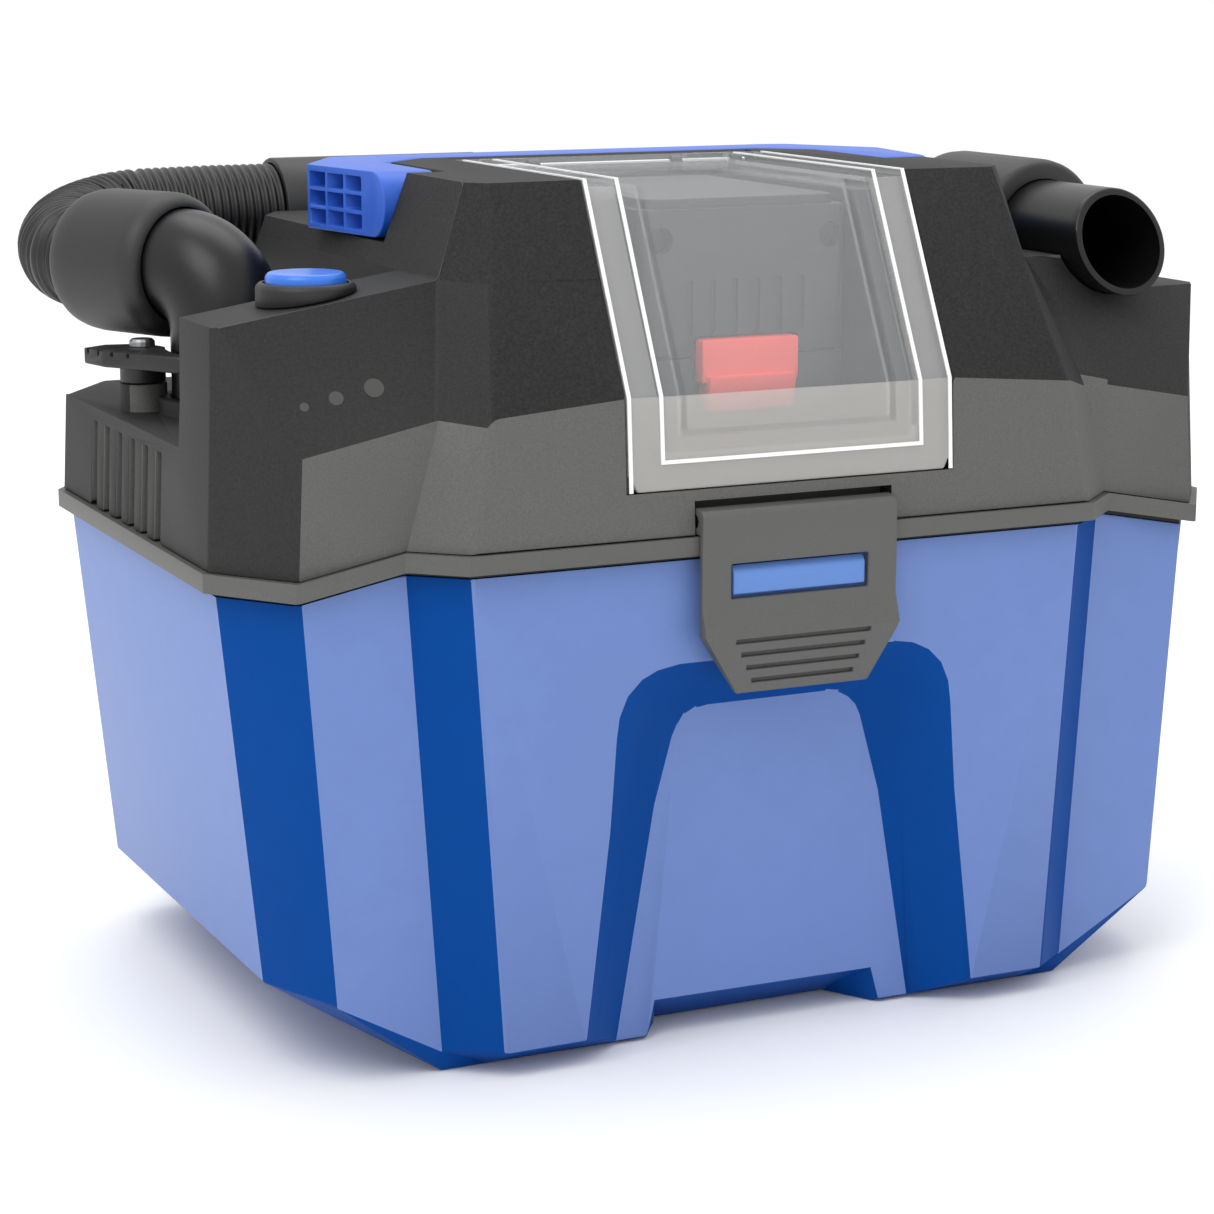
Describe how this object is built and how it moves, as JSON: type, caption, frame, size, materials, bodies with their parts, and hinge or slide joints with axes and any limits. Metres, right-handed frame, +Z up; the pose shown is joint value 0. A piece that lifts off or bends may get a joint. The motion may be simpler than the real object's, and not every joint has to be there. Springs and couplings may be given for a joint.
{
  "type": "cordless shop vacuum",
  "caption": "Compact battery shop vacuum: lobed tank, latched motor head with clear battery door, carry handle, swivel hose elbow, stretch hose and parked nozzle tube.",
  "frame": {"origin": "centre of the tank's underside", "axes": "+Z up, -Y the front with the clear battery door and the front latch, +X the side where the nozzle tube is parked"},
  "size_m": [0.3604, 0.2646, 0.269],
  "materials": {
    "blue_tank": "gloss",
    "accent_blue": "satin",
    "dark_grey": "fine grain",
    "black": "satin",
    "black_rubber": "matte",
    "clear_door": "clear",
    "red_button": "satin",
    "steel": "plated",
    "foam": "open cell",
    "board": "resist",
    "paper": "pleated"
  },
  "bodies": {
    "tank_and_head": {"tank": "blue_tank", "tank_gasket": "black_rubber", "head_base": "dark_grey", "head_shell": "dark_grey", "door_pin": "steel", "battery_bay": "black", "terminal_block": "black", "battery_case": "black", "battery_cover": "black", "handle_pin_left": "steel", "handle_pin_right": "steel", "front_latch_pin": "steel", "rear_latch_pin": "steel", "button_collar": "black", "power_switch": "black", "hose_elbow": "black", "hose": "black", "hose_end_cuff": "black", "wand_handle": "black", "wand_collar": "black", "hose_clip_1": "black", "hose_clip_2": "black", "lever_screw": "steel", "fan_cover": "dark_grey", "motor_can": "steel", "motor_housing": "dark_grey", "control_board": "board", "filter_cage": "black", "filter_sleeve": "paper", "filter_cap": "black", "exhaust_foam": "foam", "head_screw_1": "steel", "head_screw_2": "steel", "head_screw_3": "steel", "head_screw_4": "steel", "head_screw_5": "steel", "head_screw_6": "steel"},
    "battery_door": {"battery_door": "clear_door"},
    "battery_button": {"battery_button": "red_button"},
    "carry_handle": {"carry_handle": "accent_blue"},
    "front_latch": {"front_latch": "dark_grey"},
    "rear_latch": {"rear_latch": "dark_grey"},
    "power_button": {"power_button": "accent_blue"},
    "hose_cuff": {"hose_cuff": "black"},
    "nozzle_tube": {"nozzle_tube": "black"},
    "lock_lever": {"lock_lever": "black"},
    "fan_rotor": {"impeller": "black", "motor_shaft": "steel"}
  },
  "joints": [
    {"name": "battery_door_hinge", "type": "hinge", "parent": "tank_and_head", "child": "battery_door", "pos_m": [0, 0.0192, 0.266], "axis": [-1, 0, 0], "range_deg": [0, 100]},
    {"name": "battery_release", "type": "slide", "parent": "tank_and_head", "child": "battery_button", "axis": [0, 1, 0], "range_m": [0, 0.0028], "stiffness_N_per_m": 500, "springref_m": -0.003},
    {"name": "carry_handle_hinge", "type": "hinge", "parent": "tank_and_head", "child": "carry_handle", "pos_m": [0, -0.022, 0.2585], "axis": [1, 0, 0], "range_deg": [0, 90]},
    {"name": "front_latch_hinge", "type": "hinge", "parent": "tank_and_head", "child": "front_latch", "pos_m": [0, -0.1175, 0.1683], "axis": [-1, 0, 0], "range_deg": [0, 75]},
    {"name": "rear_latch_hinge", "type": "hinge", "parent": "tank_and_head", "child": "rear_latch", "pos_m": [0, 0.1175, 0.1683], "axis": [1, 0, 0], "range_deg": [0, 75]},
    {"name": "power_press", "type": "slide", "parent": "tank_and_head", "child": "power_button", "axis": [0, 0, -1], "range_m": [0, 0.0025], "stiffness_N_per_m": 600, "springref_m": -0.003},
    {"name": "cuff_swivel", "type": "hinge", "parent": "tank_and_head", "child": "hose_cuff", "pos_m": [-0.15289, 0.05378, 0.236], "axis": [-0.4472, 0.8944, 0], "continuous": true},
    {"name": "nozzle_pull", "type": "slide", "parent": "tank_and_head", "child": "nozzle_tube", "axis": [0, -1, 0], "range_m": [0, 0.04]},
    {"name": "lock_lever_turn", "type": "hinge", "parent": "tank_and_head", "child": "lock_lever", "pos_m": [-0.16, 0.031, 0.2058], "axis": [0, 0, -1], "range_deg": [0, 35]},
    {"name": "fan_spin", "type": "hinge", "parent": "tank_and_head", "child": "fan_rotor", "pos_m": [0, 0.058, 0.17], "axis": [0, 0, 1], "continuous": true}
  ]
}
